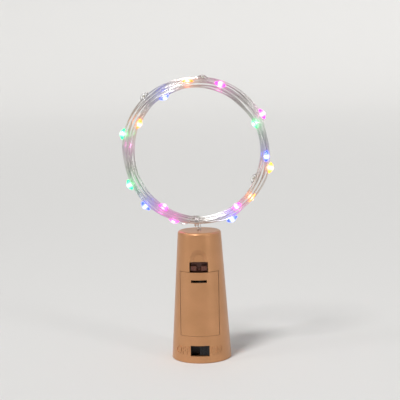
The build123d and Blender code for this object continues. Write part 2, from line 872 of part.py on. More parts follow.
def least_gap(route, samples):
    """Least gap between loops of a wound wire, from points along it to the runs of later loops."""
    points = [route @ (step / samples) for step in range(samples + 1)]
    half_loop = int(samples / (2 * coil_end_turn))
    nearest = ring_radius
    reach = ring_radius / 3
    for first, point in enumerate(points):
        for other in range(first + half_loop, samples):
            if (points[other] - point).length < reach:
                nearest = min(nearest, distance_to_run(point, points[other], points[other + 1]))
    return nearest - wire_size


def route_length(route):
    """Length of a route along its edges."""
    return sum(edge.length for edge in route.edges())


coil_length = route_length(coil_route)
lead_length = route_length(lead_path.line)
print("coil length", round(coil_length, 1), "least gap", round(least_gap(coil_route, 900), 4))
print("wraps length", round(route_length(wrap_route), 2), "lead radii", [round(r, 2) for r in lead_radii])
print("coil volume ratio", round(fairy_wire_coil.part.volume / (wire_size**2 * coil_length), 4))
print("lead volume ratio", round(fairy_wire_lead.part.volume / (wire_size**2 * lead_length), 4))
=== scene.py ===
import logging
import math
import random
from dataclasses import dataclass, field
from enum import Enum
from typing import ClassVar

import bmesh
import bpy
from bpy.types import ID, Curve, Material, Mesh, Node, NodeSocket, NodeTree, Object
from mathutils import Matrix, Vector
from mathutils.kdtree import KDTree


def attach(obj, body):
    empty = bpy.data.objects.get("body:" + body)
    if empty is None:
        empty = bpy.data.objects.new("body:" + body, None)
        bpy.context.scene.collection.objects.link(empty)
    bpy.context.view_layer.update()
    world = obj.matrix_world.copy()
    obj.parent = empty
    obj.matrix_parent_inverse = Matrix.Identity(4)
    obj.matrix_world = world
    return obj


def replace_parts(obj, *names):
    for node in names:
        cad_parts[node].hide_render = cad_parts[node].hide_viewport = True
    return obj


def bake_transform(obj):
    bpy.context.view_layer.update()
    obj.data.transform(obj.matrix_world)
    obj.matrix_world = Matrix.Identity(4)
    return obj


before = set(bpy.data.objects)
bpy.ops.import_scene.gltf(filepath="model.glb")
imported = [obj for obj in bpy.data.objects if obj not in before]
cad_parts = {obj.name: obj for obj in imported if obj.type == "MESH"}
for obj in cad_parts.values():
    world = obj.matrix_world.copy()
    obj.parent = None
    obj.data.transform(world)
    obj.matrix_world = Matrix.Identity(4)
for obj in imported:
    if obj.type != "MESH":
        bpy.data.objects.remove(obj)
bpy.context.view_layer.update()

log = logging.getLogger("cork_bottle_light")
MM = 0.001
Inputs = dict[str | int, object]
Points = list[Vector]
Faces = list[list[int]]


def linear(hex_colour: str) -> tuple[float, float, float, float]:
    """Turn an sRGB hex colour into the linear colour that a shader takes.

    Args:
        hex_colour: Six hex digits, with or without a leading hash.

    Returns:
        Linear red, green and blue, with an alpha of 1.
    """
    digits = hex_colour.lstrip("#")
    channels = [int(digits[i : i + 2], 16) / 255 for i in (0, 2, 4)]
    parts = [c / 12.92 if c <= 0.04045 else ((c + 0.055) / 1.055) ** 2.4 for c in channels]
    return parts[0], parts[1], parts[2], 1.0


def feed(tree: NodeTree, node: Node, inputs: Inputs) -> None:
    """Feed a node's inputs with values and links.

    Args:
        tree: The node tree.
        node: The node.
        inputs: The value or the source socket of each input, by its name or number.
    """
    for name, value in inputs.items():
        if isinstance(value, NodeSocket):
            tree.links.new(value, node.inputs[name])
        else:
            node.inputs[name].default_value = value


def add_node(tree: NodeTree, kind: str, inputs: Inputs | None = None, **settings: object) -> Node:
    """Add one shader node with its settings, input values and incoming links.

    Args:
        tree: The node tree that gets the node.
        kind: The node's type name.
        inputs: The value or the source socket of each input, by its name or number.
        settings: Attributes of the node.

    Returns:
        The new node.
    """
    node = tree.nodes.new(kind)
    for name, value in settings.items():
        setattr(node, name, value)
    feed(tree, node, inputs or {})
    return node


@dataclass(frozen=True)
class Finish:
    """What a surface is made of and how it was made."""

    name: str
    colour: str
    metallic: float = 0.0
    roughness: float = 0.4
    ior: float = 1.5
    made: ClassVar[dict[str, Material]] = {}

    def material(self) -> Material:
        """Make the Blender material once, and give the same one after that.

        Returns:
            The material with this finish's shader.
        """
        if self.name not in self.made:
            material = bpy.data.materials.new(self.name)
            material.use_nodes = True
            tree = material.node_tree
            tree.nodes.clear()
            look = {"Metallic": self.metallic, "Roughness": self.roughness, "IOR": self.ior}
            look["Base Color"] = linear(self.colour)
            shader = add_node(tree, "ShaderNodeBsdfPrincipled", look)
            add_node(tree, "ShaderNodeOutputMaterial", {"Surface": shader.outputs[0]})
            feed(tree, shader, self.dress(tree))
            self.made[self.name] = material
        return self.made[self.name]

    def dress(self, tree: NodeTree) -> Inputs:
        """Inputs of the main shader that show more than plain colour; a plain finish has none."""
        return {}


@dataclass(frozen=True)
class SprayedLacquer(Finish):
    """Metallic lacquer sprayed on moulded ABS: a satin sheen with fine flakes, and painted shade in its inner
    corners. Sizes in millimetres.
    """

    flake: float = 0.1
    glint: float = 0.05
    sheen: tuple[float, float] = (-0.05, 0.07)
    drift: float = 9.0
    drift_detail: float = 2.0
    drift_colour: str = "#B58255"
    binder: float = 0.25
    # The next three fields set the painted shade in inner corners: how far it reaches, its dark colour and
    # its samples.
    corner_shade_reach: float = 1.6
    corner_shade_colour: str = "#2E1A11"
    corner_shade_samples: int = 8
    skin: float = 0.12
    skin_depth: float = 0.02

    def dress(self, tree: NodeTree) -> Inputs:
        """Add flakes, a slow drift of tone, painted shade in the inner corners and the skin of the sprayed
        coat.

        Args:
            tree: The material's node tree.

        Returns:
            Inputs of the main shader.
        """
        place = add_node(tree, "ShaderNodeTexCoord").outputs["Object"]
        # Real flakes are about 0.04 mm; they are drawn 0.1 mm so that they show as a fine grain.
        flakes = add_node(tree, "ShaderNodeTexVoronoi", {"Vector": place, "Scale": 1 / (self.flake * MM)})
        clouds = {"Vector": place, "Scale": 1 / (self.drift * MM), "Detail": self.drift_detail}
        drift = add_node(tree, "ShaderNodeTexNoise", clouds).outputs["Fac"]
        tones = {0: drift, 6: linear(self.colour), 7: linear(self.drift_colour)}
        tone = add_node(tree, "ShaderNodeMix", tones, data_type="RGBA").outputs[2]
        glints = {"Value": flakes.outputs["Color"], "To Min": 1 - self.glint, "To Max": 1 + self.glint}
        glint = add_node(tree, "ShaderNodeMapRange", glints).outputs[0]
        flecked = add_node(tree, "ShaderNodeVectorMath", {0: tone, "Scale": glint}, operation="SCALE")
        # Painted shade: an occlusion mask darkens the inner corners of a recess towards a dark brown, where
        # shade falls.
        reach = {"Distance": self.corner_shade_reach * MM}
        corners = {"samples": self.corner_shade_samples, "only_local": True}
        corner_shade_mask = add_node(tree, "ShaderNodeAmbientOcclusion", reach, **corners).outputs["AO"]
        corner_shaded_coat = {0: corner_shade_mask, 6: linear(self.corner_shade_colour), 7: flecked.outputs[0]}
        low, high = (self.roughness + change for change in self.sheen)
        sheen = {"Value": flakes.outputs["Color"], "To Min": low, "To Max": high}
        skin = {"Height": flakes.outputs["Distance"], "Strength": self.skin, "Distance": self.skin_depth * MM}
        return {
            "Coat Weight": self.binder,
            "Coat Roughness": self.roughness,
            "Base Color": add_node(tree, "ShaderNodeMix", corner_shaded_coat, data_type="RGBA").outputs[2],
            "Roughness": add_node(tree, "ShaderNodeMapRange", sheen).outputs[0],
            "Normal": add_node(tree, "ShaderNodeBump", skin).outputs[0],
        }


@dataclass(frozen=True)
class MouldedPlastic(Finish):
    """Injection-moulded plastic with the spark-eroded grain of its mould. Sizes in millimetres."""

    grain: float = 0.25
    depth: float = 0.008
    detail: float = 3.0
    strength: float = 0.5

    def dress(self, tree: NodeTree) -> Inputs:
        """Add the mould's grain as a shallow bump.

        Args:
            tree: The material's node tree.

        Returns:
            Inputs of the main shader.
        """
        place = add_node(tree, "ShaderNodeTexCoord").outputs["Object"]
        specks = {"Vector": place, "Scale": 1 / (self.grain * MM), "Detail": self.detail}
        grain = add_node(tree, "ShaderNodeTexNoise", specks).outputs["Fac"]
        bump = {"Height": grain, "Strength": self.strength, "Distance": self.depth * MM}
        return {"Normal": add_node(tree, "ShaderNodeBump", bump).outputs[0]}


@dataclass(frozen=True)
class PlatedMetal(Finish):
    """Plated metal whose gloss wanders a little from handling, over so many millimetres."""

    metallic: float = 1.0
    wander: float = 2.5
    detail: float = 4.0
    gloss: tuple[float, float] = (-0.06, 0.1)

    def dress(self, tree: NodeTree) -> Inputs:
        """Let the roughness wander over the plating.

        Args:
            tree: The material's node tree.

        Returns:
            Inputs of the main shader.
        """
        place = add_node(tree, "ShaderNodeTexCoord").outputs["Object"]
        smears = {"Vector": place, "Scale": 1 / (self.wander * MM), "Detail": self.detail}
        marks = add_node(tree, "ShaderNodeTexNoise", smears).outputs["Fac"]
        low, high = (self.roughness + change for change in self.gloss)
        gloss = {"Value": marks, "To Min": low, "To Max": high}
        return {"Roughness": add_node(tree, "ShaderNodeMapRange", gloss).outputs[0]}


@dataclass(frozen=True)
class WireWithPaintedLight(PlatedMetal):
    """Bright wire with the coloured light of the lit drops beside it painted into its colour, and painted on
    as a glow.
    """

    # How much of the painted light goes into the base colour, and how strong its painted glow is.
    painted_tint_share: float = 0.6
    painted_glow_strength: float = 0.35

    def dress(self, tree: NodeTree) -> Inputs:
        """Paint the stray light of the lit drops onto the wire, from its own map: into its base colour, and
        as a glow.

        Args:
            tree: The material's node tree.

        Returns:
            Inputs of the main shader.
        """
        stray = add_node(tree, "ShaderNodeAttribute", attribute_name="stray_colour").outputs["Color"]
        share = add_node(tree, "ShaderNodeAttribute", attribute_name="stray_share").outputs["Fac"]
        painted_tint_share, painted_glow_strength = (
            add_node(tree, "ShaderNodeMath", {0: share, 1: part}, operation="MULTIPLY").outputs[0]
            for part in (self.painted_tint_share, self.painted_glow_strength)
        )
        painted_light_tints = {0: painted_tint_share, 6: linear(self.colour), 7: stray}
        return super().dress(tree) | {
            "Base Color": add_node(tree, "ShaderNodeMix", painted_light_tints, data_type="RGBA").outputs[2],
            "Emission Color": stray,
            "Emission Strength": painted_glow_strength,
        }


@dataclass(frozen=True)
class CastResin(Finish):
    """Clear epoxy cast round a lit chip: nearly white at its heart, its colour towards the ends."""

    clear: str = "#FFFFFF"
    clearness: float = 0.85
    whiteness: float = 0.75
    rim: float = 0.9
    core: float = 1.2

    def dress(self, tree: NodeTree) -> Inputs:
        """Make the resin clear, let it glow where its light is on, and paint its light's colour into its base
        colour there.

        Args:
            tree: The material's node tree.

        Returns:
            Inputs of the main shader.
        """
        glow = add_node(tree, "ShaderNodeAttribute", attribute_name="glow").outputs["Fac"]
        lit = add_node(tree, "ShaderNodeAttribute", attribute_name="lit").outputs["Fac"]
        white = add_node(tree, "ShaderNodeMath", {0: glow, 1: self.whiteness}, operation="MULTIPLY")
        glowing = {0: white.outputs[0], 6: linear(self.colour), 7: linear(self.clear)}
        # Painted light: where its light is on, the clear resin's base colour is painted in the light's
        # colour.
        painted_lit_tint = {0: lit, 6: linear(self.clear), 7: linear(self.colour)}
        brighter = {0: glow, 1: self.core, 2: self.rim}
        brightness = add_node(tree, "ShaderNodeMath", brighter, operation="MULTIPLY_ADD").outputs[0]
        strength = add_node(tree, "ShaderNodeMath", {0: brightness, 1: lit}, operation="MULTIPLY")
        return {
            "Transmission Weight": self.clearness,
            "Base Color": add_node(tree, "ShaderNodeMix", painted_lit_tint, data_type="RGBA").outputs[2],
            "Emission Color": add_node(tree, "ShaderNodeMix", glowing, data_type="RGBA").outputs[2],
            "Emission Strength": strength.outputs[0],
        }


@dataclass(frozen=True)
class LitChip(Finish):
    """The light chip: a pale block that glows in the light's colour when it is on."""

    glow_colour: str = "#FFFFFF"
    power: float = 9.0

    def dress(self, tree: NodeTree) -> Inputs:
        """Light the chip where its light is on.

        Args:
            tree: The material's node tree.

        Returns:
            Inputs of the main shader.
        """
        lit = add_node(tree, "ShaderNodeAttribute", attribute_name="lit").outputs["Fac"]
        strength = add_node(tree, "ShaderNodeMath", {0: lit, 1: self.power}, operation="MULTIPLY")
        return {"Emission Color": linear(self.glow_colour), "Emission Strength": strength.outputs[0]}


# Satin tan metallic lacquer on moulded ABS: a warm soft sheen, no clear mirror image.
TAN_LACQUER = SprayedLacquer("tan_metallic_lacquer_on_abs", "#CD9468", metallic=0.5, roughness=0.36)
# The same lacquer, thin on black ABS, for the latch, which lies too deep for a full coat; its dark colours
# are partly painted shade of that deep place behind the keeper.
OVERSPRAY_AND_SHADE = SprayedLacquer(
    "thin_overspray_on_black_abs", "#6B3D2E", metallic=0.3, roughness=0.36, drift=3.0, drift_colour="#4C2A22"
)
# Black ABS, as moulded: deep, slightly grained, half matt.
BLACK_ABS = MouldedPlastic("black_abs_moulded", "#1B1B1D", roughness=0.42)
# Black acetal, as moulded: the switch's slider, a shade darker, with a broad dull highlight.
BLACK_ACETAL = MouldedPlastic(
    "black_acetal_moulded", "#0B0B0D", roughness=0.45, ior=1.48, grain=0.4, depth=0.004
)
# Nickel-plated steel, rolled and drawn: bright, faintly warm.
NICKEL_STEEL = PlatedMetal("nickel_plated_steel_drawn", "#CFCCC4", roughness=0.24)
# Tinned sheet steel: greyer and duller than nickel.
TINNED_STEEL = PlatedMetal("tinned_sheet_steel_folded", "#B9BABB", roughness=0.34)
# Tinned brass terminals: pale with a yellow cast.
TINNED_BRASS = PlatedMetal("tinned_brass_stamped", "#CDBF97", roughness=0.3)
# Solder: bright grey beads, wetted smooth.
SOLDER = PlatedMetal("tin_solder_reflowed", "#C3C5C8", roughness=0.2)
# Enamelled silver-plated copper wire, drawn: bright, with a clear coat's crisp highlights; the coloured light
# of the lit drops is painted onto it.
SILVER_WIRE = WireWithPaintedLight("enamelled_silver_plated_copper_drawn", "#DAD8D4", roughness=0.2)
# Glass-cloth laminate under green solder resist: smooth, semi-gloss.
GREEN_RESIST = MouldedPlastic(
    "green_solder_resist_on_laminate", "#1D5B34", roughness=0.3, ior=1.55, grain=0.6, depth=0.004
)
# Lacquered ceramic resistor body, dipped: smooth, with a soft gloss.
TAN_CERAMIC = Finish("lacquered_ceramic_dipped", "#C9AE84", roughness=0.35, ior=1.6)
# Nylon sealing ring of a cell, moulded: matt.
CELL_NYLON = Finish("black_nylon_seal_moulded", "#242321", roughness=0.5, ior=1.53)
# PVC wire insulation, extruded: soft gloss.
RED_PVC = Finish("red_pvc_extruded", "#B01E22", roughness=0.38, ior=1.53)
BLACK_PVC = Finish("black_pvc_extruded", "#19191B", roughness=0.38, ior=1.53)
# Hot-melt glue, squeezed out and set: milky and waxy.
HOT_MELT = Finish("hot_melt_glue_set", "#E4DECF", roughness=0.45, ior=1.48)
# Resistor colour bands, printed: flat brown, and gold with a glint.
BAND_BROWN = Finish("brown_band_printed", "#5B3319", roughness=0.4)
BAND_GOLD = Finish("gold_band_printed", "#B08A3A", metallic=0.6, roughness=0.35)
# Paper, pressed: pale and matt, for the floor.
PAPER = Finish("pale_paper_matt", "#E0DFDD", roughness=0.8)


class LightColour(Enum):
    """Colour of a light, with the sRGB colour that its resin glows in."""

    BLUE = "#2A4BFF"
    GREEN = "#12D97A"
    MAGENTA = "#F02BD0"
    ORANGE = "#FF8A1E"
    YELLOW = "#FFA726"

    def resin(self) -> CastResin:
        """Resin finish in this colour."""
        return CastResin(f"clear_epoxy_cast_lit_{self.name.lower()}", self.value, roughness=0.06, ior=1.52)

    def chip(self) -> LitChip:
        """Chip finish in this colour."""
        return LitChip(f"light_chip_{self.name.lower()}", "#D9D3BF", glow_colour=self.value)


def facing(azimuth: float, rise: float = 0.0) -> Vector:
    """Direction some degrees round from the front, positive to the right, and some degrees up."""
    turn, lift = math.radians(azimuth), math.radians(rise)
    return Vector((math.sin(turn) * math.cos(lift), -math.cos(turn) * math.cos(lift), math.sin(lift)))


def around(radius: float, turn: float, height: float, back: float = 0.0) -> Vector:
    """Point part of a turn round an upright axis, which may stand back from the middle."""
    angle = 2 * math.pi * turn
    return Vector((radius * math.cos(angle), radius * math.sin(angle) + back, height))


def tube_faces(rings: int, sides: int, first: int = 0) -> Faces:
    """Join rings of points into a closed tube.

    Args:
        rings: How many rings there are.
        sides: How many points each has.
        first: The number of the first point.

    Returns:
        The faces of the wall, then of the two ends, as lists of point numbers.
    """
    faces = []
    for low in range(first, first + (rings - 1) * sides, sides):
        for side in range(sides):
            after, high = (side + 1) % sides, low + sides
            faces.append([low + side, low + after, high + after, high + side])
    last = first + (rings - 1) * sides
    return [*faces, list(reversed(range(first, first + sides))), list(range(last, last + sides))]


def stand(name: str, data: ID) -> Object:
    """Stand a mesh, lamp or camera in the scene.

    Args:
        name: The object's name.
        data: What it shows.

    Returns:
        The new object.
    """
    thing = bpy.data.objects.new(name, data)
    bpy.context.scene.collection.objects.link(thing)
    return thing


def make_mesh(name: str, points: Points, faces: Faces, finish: Finish, smooth: bool = True) -> Object:
    """Make a mesh object with one finish.

    Args:
        name: The piece's name.
        points: Its points in metres.
        faces: Its faces as lists of point numbers.
        finish: The finish that it gets.
        smooth: Whether its faces shade into each other.

    Returns:
        The new object, in the scene.
    """
    mesh = bpy.data.meshes.new(name)
    mesh.from_pydata(points, [], faces)
    mesh.validate()
    mesh.polygons.foreach_set("use_smooth", [smooth] * len(mesh.polygons))
    mesh.materials.append(finish.material())
    return stand(name, mesh)


def curve_mesh(curve: Curve) -> Mesh:
    """Turn a curve into a mesh, and remove the curve.

    Args:
        curve: The curve.

    Returns:
        The mesh.
    """
    holder = bpy.data.objects.new(curve.name, curve)
    mesh = bpy.data.meshes.new_from_object(holder)
    bpy.data.objects.remove(holder)
    bpy.data.curves.remove(curve)
    return mesh


def report(piece: Object, what: str) -> None:
    """Report in the log what was done to a piece."""
    log.info("%s: %s, %d faces", piece.name, what, len(piece.data.polygons))


def dress_nodes(finish: Finish, *names: str) -> None:
    """Give CAD nodes a finish.

    Args:
        finish: The finish.
        names: The nodes' names.
    """
    for name in names:
        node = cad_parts[name]
        node.data.materials.clear()
        node.data.materials.append(finish.material())
        report(node, f"dressed in {finish.name}")


def copy_node(node: str, name: str, finish: Finish, cuts: tuple[tuple[Vector, Vector], ...] = ()) -> Object:
    """Copy a CAD node's form into a piece of the scene, in its place, that can be cut.

    Args:
        node: The node's name.
        name: The piece's name.
        finish: The finish that it gets.
        cuts: Planes in millimetres, a point and a normal each; what lies beyond one is cut away.

    Returns:
        The piece.
    """
    weld, crease = 0.002 * MM, math.radians(30)
    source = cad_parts[node]
    form = bmesh.new()
    form.from_mesh(source.data)
    form.transform(source.matrix_world)
    bmesh.ops.remove_doubles(form, verts=form.verts[:], dist=weld)
    for point, normal in cuts:
        plane = {"plane_co": point * MM, "plane_no": normal, "clear_outer": True}
        cut = bmesh.ops.bisect_plane(form, geom=form.verts[:] + form.edges[:] + form.faces[:], **plane)
        edges = [edge for edge in cut["geom_cut"] if isinstance(edge, bmesh.types.BMEdge)]
        bmesh.ops.holes_fill(form, edges=[edge for edge in edges if edge.is_boundary], sides=0)
    form.verts.index_update()
    points = [vertex.co.copy() for vertex in form.verts]
    faces = [[vertex.index for vertex in face.verts] for face in form.faces]
    form.free()
    piece = make_mesh(name, points, faces, finish)
    piece.data.set_sharp_from_angle(angle=crease)
    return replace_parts(piece, node)


@dataclass
class Tube:
    """Points and faces of round tubes swept along paths, collected into one mesh."""

    sides: int = 8
    points: Points = field(default_factory=list)
    faces: Faces = field(default_factory=list)

    def sweep(self, path: Points, radii: list[float]) -> None:
        """Sweep a round section along a path, closed at both ends.

        Args:
            path: Points along the middle of the tube.
            radii: The tube's radius at each point.
        """
        self.faces += tube_faces(len(path), self.sides, len(self.points))
        for place, across, up, radius in zip(path, *carried_frames(path), radii):
            for side in range(self.sides):
                angle = 2 * math.pi * side / self.sides
                self.points.append(place + (across * math.cos(angle) + up * math.sin(angle)) * radius)


def carried_frames(path: Points) -> tuple[Points, Points]:
    """Carry a pair of cross directions along a path without twisting them.

    Args:
        path: Points along the path.

    Returns:
        The first and second cross direction at each point.
    """
    ahead, behind = path[1:] + path[-1:], path[:1] + path[:-1]
    tangents = [(after - before).normalized() for after, before in zip(ahead, behind)]
    # The first cross direction starts from +Y, unless the path sets out nearly along it.
    start = Vector((0, 1, 0)) if abs(tangents[0].y) < 0.9 else Vector((1, 0, 0))
    across = (start - tangents[0] * start.dot(tangents[0])).normalized()
    acrosses, ups = [], []
    for tangent in tangents:
        across = (across - tangent * across.dot(tangent)).normalized()
        acrosses.append(across.copy())
        ups.append(tangent.cross(across))
    return acrosses, ups


@dataclass
class WireRoute:
    """Where the pair of strands runs: up from the top, round the tie, then nearly twelve loops.

    Sizes are in millimetres. Turns count the loops clockwise from the tie below, seen from the front.
    Each stray is a size, its waves per turn and how far a new offset shifts it. Each waist is a place
    in the turn and how much the bundle narrows there. Crossing points are taken from the tie.
    """

    nose_height: float = 51.0
    nose_underside: float = 49.4
    lead_straight: float = 0.9
    lead_slope_top: float = 2.5
    ring_height: float = 82.5
    tie_radius: float = 27.8
    layer_turns: int = 3
    layer_count: int = 4
    tie_radial_pitch: float = 0.84
    layer_pitch: float = 0.9
    half_climb: float = 0.25
    start_turn: float = 0.05
    end_turn: float = 11.8
    wrap_radius: float = 2.1
    wrap_pitch: float = 0.9
    wrap_turns: float = 2.25
    wrap_points: int = 16
    crossing: tuple[tuple[float, float, float], ...] = (
        (-2.7, -2.1, 1.0),
        (-3.3, -2.1, 0.3),
        (-4.4, -2.0, -0.8),
        (-6.6, -1.6, -0.95),
    )
    points_per_turn: int = 24
    curve_order: int = 3
    curve_steps: int = 7
    sway: float = 0.5
    strays: tuple[tuple[float, float, float], ...] = ((1.0, 0.83, 1.0), (0.55, 2.31, 3.7), (0.3, 5.17, 1.9))
    stray_scale: float = 1.3
    out_offset: float = 0.13
    back_offset: float = 0.61
    wide_pitch: float = 1.9
    half_width: float = 2.75
    edge_power: int = 6
    middle_radius: float = 26.9
    lean: float = -0.45
    waists: tuple[tuple[float, float], ...] = ((0.225, 0.22), (0.375, 0.3), (0.744, 0.42))
    waist_reach: float = 0.035
    bundle_turn: float = 0.6
    bundle_waves: int = 3
    bundle_phase: float = 0.4
    pulls: list[tuple[float, float]] = field(default_factory=list)
    pull_reach: float = 0.035

    def spiral_share(self, turn: float) -> float:
        """Loops out from the middle of the bundle at a turn."""
        phase = turn % (2 * self.layer_turns)
        return self.layer_turns / 2 - phase if phase <= self.layer_turns else phase - 1.5 * self.layer_turns

    def layer_share(self, turn: float) -> float:
        """Layers behind the middle of the bundle at a turn.

        Args:
            turn: Turns along the coil.

        Returns:
            The place in the depth of the bundle, in layers.
        """
        layer = min(int((turn + self.half_climb) / self.layer_turns), self.layer_count - 1)
        into_climb = turn + self.half_climb - layer * self.layer_turns
        eased = 1.0
        if layer > 0 and into_climb < 2 * self.half_climb:
            eased = (1 - math.cos(math.pi * into_climb / (2 * self.half_climb))) / 2
        return layer - 1 + eased - (self.layer_count - 1) / 2

    def looseness(self, turn: float) -> float:
        """0 at the tie, 1 from a quarter turn on."""
        return min(1.0, 1 - math.cos(2 * math.pi * turn))

    def swaying(self, turn: float, offset: float) -> float:
        """How far a hand-wound loop strays from its place, in millimetres.

        Args:
            turn: Turns along the coil.
            offset: A different number for each direction.

        Returns:
            The stray, which is nothing at the tie.
        """
        total = 0.0
        for size, waves, shift in self.strays:
            total += size * math.sin(2 * math.pi * (turn * waves + offset * shift))
        return self.sway * self.looseness(turn) * total / self.stray_scale

    def bundle_offset(self, turn: float) -> tuple[float, float]:
        """Place of the wire in the bundle's cross-section, which narrows and turns round the ring.

        Args:
            turn: Turns along the coil.

        Returns:
            How far out and how far back it lies from the middle of the bundle, in millimetres.
        """
        loose = self.looseness(turn)
        way_round = turn % 1.0
        width = 1.0
        for waist, depth in self.waists:
            width -= depth * math.exp(-(((way_round - waist) / self.waist_reach) ** 2))
        pitch = self.tie_radial_pitch + (self.wide_pitch - self.tie_radial_pitch) * loose
        out = self.spiral_share(turn) * pitch + self.swaying(turn, self.out_offset)
        back = self.layer_share(turn) * self.layer_pitch + self.swaying(turn, self.back_offset)
        wave = math.sin(2 * math.pi * self.bundle_waves * way_round + self.bundle_phase)
        angle = self.bundle_turn * wave * loose
        turned = (out * math.cos(angle) - back * math.sin(angle)) * width
        back = out * math.sin(angle) + back * math.cos(angle)
        for place, pulled in self.pulls:
            turned += (pulled - turned) * math.exp(-(((turn - place) / self.pull_reach) ** 2))
        crowding = 1 + abs(turned / self.half_width) ** self.edge_power
        return turned / crowding ** (1 / self.edge_power), back

    def ring_point(self, turn: float) -> Vector:
        """Place of the wire in the coil.

        Args:
            turn: Turns along the coil.

        Returns:
            The place, in millimetres.
        """
        out, back = self.bundle_offset(turn)
        loose = self.looseness(turn)
        radius = self.tie_radius + (self.middle_radius - self.tie_radius) * loose + out
        angle = -math.pi / 2 - 2 * math.pi * turn
        side = radius * math.cos(angle) + self.lean * loose
        return Vector((side, back, self.ring_height + radius * math.sin(angle)))

    def wrap_point(self, turn: float) -> Vector:
        """Place of the wire where it wraps the tied bundle, in millimetres from the tie."""
        angle, radius = 2 * math.pi * turn, self.wrap_radius
        return Vector((-self.wrap_pitch * turn, radius * math.cos(angle), radius * math.sin(angle)))

    def control_points(self) -> Points:
        """Control points of the whole run, in millimetres.

        Returns:
            Points from inside the top's hole to the end of the last loop.
        """
        heights = (self.nose_underside, self.nose_height, self.nose_height + self.lead_straight)
        lead = [Vector((0, 0, height)) for height in heights]
        lead.append(Vector((0, self.wrap_radius, self.nose_height + self.lead_slope_top)))
        steps = range(int(self.wrap_turns * self.wrap_points) + 1)
        wraps = [self.wrap_point(step / self.wrap_points) for step in steps]
        tie = Vector((0, 0, self.ring_height - self.tie_radius))
        bundle = [tie + place for place in wraps + [Vector(place) for place in self.crossing]]
        count = int((self.end_turn - self.start_turn) * self.points_per_turn)
        span = (self.end_turn - self.start_turn) / count
        return lead + bundle + [self.ring_point(self.start_turn + span * index) for index in range(count + 1)]

    def path(self) -> Points:
        """Points read from the NURBS curve through the control points, in metres.

        Returns:
            The middle line of the pair of strands.
        """
        curve = bpy.data.curves.new("wire_route", "CURVE")
        curve.dimensions = "3D"
        controls = self.control_points()
        spline = curve.splines.new("NURBS")
        spline.points.add(len(controls) - 1)
        for point, place in zip(spline.points, controls):
            point.co = (*(place * MM), 1.0)
        spline.order_u = self.curve_order
        spline.use_endpoint_u = True
        spline.resolution_u = self.curve_steps
        mesh = curve_mesh(curve)
        points = [vertex.co.copy() for vertex in mesh.vertices]
        bpy.data.meshes.remove(mesh)
        return points


@dataclass
class LightString:
    """The string outside the casing: two enamelled strands that lie together and twist slowly.

    Sizes are in millimetres. Starts are measured along the string from its end in the top's hole.
    """

    route: WireRoute = field(default_factory=WireRoute)
    strand_radius: float = 0.14
    strand_sides: int = 8
    lead_spread: float = 0.4
    wrap_spread: float = 0.24
    wrap_start: float = 3.0
    wrap_blend: float = 3.0
    coil_spread: float = 0.17
    coil_blend: float = 6.0
    spread_waver: float = 0.12
    spread_waver_length: float = 9.0
    twist_start: float = 46.0
    twist_length: float = 46.0
    twist_waver: float = 0.6
    twist_waver_length: float = 23.0
    # How far the painted light of each lit drop reaches on the strands, where it stops, and how pale it is
    # painted.
    stray_reach: float = 2.7
    stray_limit: float = 12.0
    stray_paleness: float = 0.3
    path: Points = field(default_factory=list)

    def strand_paths(self) -> list[Points]:
        """Work out the two strands' middle lines.

        Returns:
            Two lists of points in metres.
        """
        acrosses, ups = carried_frames(self.path)
        strands: list[Points] = [[], []]
        run = 0.0
        for index, place in enumerate(self.path):
            if index:
                run += (place - self.path[index - 1]).length / MM
            twisting = max(0.0, run - self.twist_start)
            angle = math.pi / 2 + 2 * math.pi * twisting / self.twist_length
            angle += self.twist_waver * math.sin(twisting / self.twist_waver_length)
            wrapping = min(1.0, max(0.0, (run - self.wrap_start) / self.wrap_blend))
            coiling = min(1.0, twisting / self.coil_blend)
            spread = self.lead_spread + (self.wrap_spread - self.lead_spread) * wrapping
            coiled = self.coil_spread * (1.0 + self.spread_waver * math.sin(run / self.spread_waver_length))
            spread += (coiled - spread) * coiling
            sideways = acrosses[index] * math.cos(angle) + ups[index] * math.sin(angle)
            for strand, side in zip(strands, (-1, 1)):
                strand.append(place + sideways * (side * spread * MM))
        return strands

    def build(self) -> Object:
        """Build both strands as one piece that takes the place of the square CAD wire.

        Returns:
            The piece.
        """
        self.path = self.route.path()
        tube = Tube(self.strand_sides)
        for strand in self.strand_paths():
            tube.sweep(strand, [self.strand_radius * MM] * len(strand))
        wire = make_mesh("wire_strands", tube.points, tube.faces, SILVER_WIRE)
        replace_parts(wire, "fairy_wire_lead", "wire_wraps", "fairy_wire_coil")
        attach(wire, "casing")
        report(wire, "two strands along the route")
        return wire

    def paint_stray_light(self, wire: Object, spots: list[tuple[Vector, str]]) -> None:
        """Map the coloured light that the lit drops throw on the strands beside them, which the wire's finish
        paints on.

        Args:
            wire: The strands.
            spots: Place and colour of each lit drop.
        """
        vertices = wire.data.vertices
        nearby = KDTree(len(vertices))
        for vertex in vertices:
            nearby.insert(vertex.co, vertex.index)
        nearby.balance()
        colours = [Vector((0, 0, 0)) for _ in vertices]
        shares = [0.0] * len(vertices)
        for place, colour in spots:
            shade = Vector(linear(colour)[:3]).lerp(Vector((1, 1, 1)), self.stray_paleness)
            for _, index, distance in nearby.find_range(place, self.stray_limit * MM):
                share = math.exp(-distance / (self.stray_reach * MM))
                colours[index] += shade * share
                shares[index] += share
        flat = []
        for colour, share in zip(colours, shares):
            flat += [*(colour / share if share else colour), 1.0]
        tint = wire.data.attributes.new("stray_colour", "FLOAT_COLOR", "POINT")
        tint.data.foreach_set("color", flat)
        amount = wire.data.attributes.new("stray_share", "FLOAT", "POINT")
        amount.data.foreach_set("value", [min(1.0, share) for share in shares])
        log.info("%s: takes light from %d drops", wire.name, len(spots))

    def length(self) -> float:
        """Length of the run in metres."""
        return sum((after - before).length for before, after in zip(self.path, self.path[1:]))

    def declare(self, lights: list[Object]) -> None:
        """Args:
            lights: The pieces that sit on them; not used.
        """
        self.length()
        log.info("string declared: %.0f mm long", self.length() / MM)


@dataclass
class Light:
    """One light: its angle round the ring and its place across the bundle, its colour, on or off."""

    angle: float
    out: float
    colour: LightColour
    lit: bool = True


